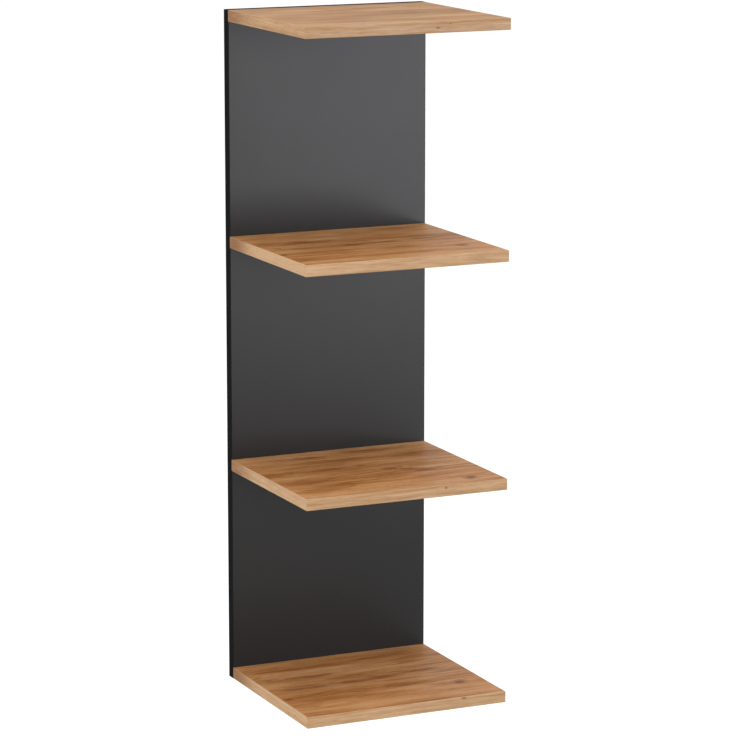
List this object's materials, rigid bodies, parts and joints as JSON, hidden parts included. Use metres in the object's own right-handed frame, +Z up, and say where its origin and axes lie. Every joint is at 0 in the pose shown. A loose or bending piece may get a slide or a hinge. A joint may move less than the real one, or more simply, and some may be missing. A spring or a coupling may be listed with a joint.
{
  "type": "wall shelf",
  "caption": "Tall narrow wall shelf: a dark flat back panel carries evenly spread, cantilevered oak boards that are open on three sides. It hangs from keyhole plates in its back.",
  "frame": {"origin": "on the wall plane, midway between the entry holes of the two keyhole hangers", "axes": "+Z up, +Y into the wall, so the boards stand out towards -Y; +X to the right seen from the front"},
  "size_m": [0.3, 0.28, 0.95],
  "materials": {
    "graphite_board": "satin",
    "graphite_edge": "satin",
    "oak_board": "satin",
    "oak_edge": "satin",
    "zinc_steel": "satin"
  },
  "bodies": {
    "root": {"back_panel": "graphite_board", "panel_left_edge_band": "graphite_edge", "panel_right_edge_band": "graphite_edge", "panel_top_edge_band": "graphite_edge", "panel_bottom_edge_band": "graphite_edge", "top_shelf_board": "oak_board", "top_shelf_front_edge_band": "oak_edge", "top_shelf_left_edge_band": "oak_edge", "top_shelf_right_edge_band": "oak_edge", "top_shelf_connecting_screws": "zinc_steel", "upper_shelf_board": "oak_board", "upper_shelf_front_edge_band": "oak_edge", "upper_shelf_left_edge_band": "oak_edge", "upper_shelf_right_edge_band": "oak_edge", "upper_shelf_connecting_screws": "zinc_steel", "lower_shelf_board": "oak_board", "lower_shelf_front_edge_band": "oak_edge", "lower_shelf_left_edge_band": "oak_edge", "lower_shelf_right_edge_band": "oak_edge", "lower_shelf_connecting_screws": "zinc_steel", "bottom_shelf_board": "oak_board", "bottom_shelf_front_edge_band": "oak_edge", "bottom_shelf_left_edge_band": "oak_edge", "bottom_shelf_right_edge_band": "oak_edge", "bottom_shelf_connecting_screws": "zinc_steel", "left_hanger_plate": "zinc_steel", "right_hanger_plate": "zinc_steel", "hanger_screws": "zinc_steel"}
  },
  "joints": []
}
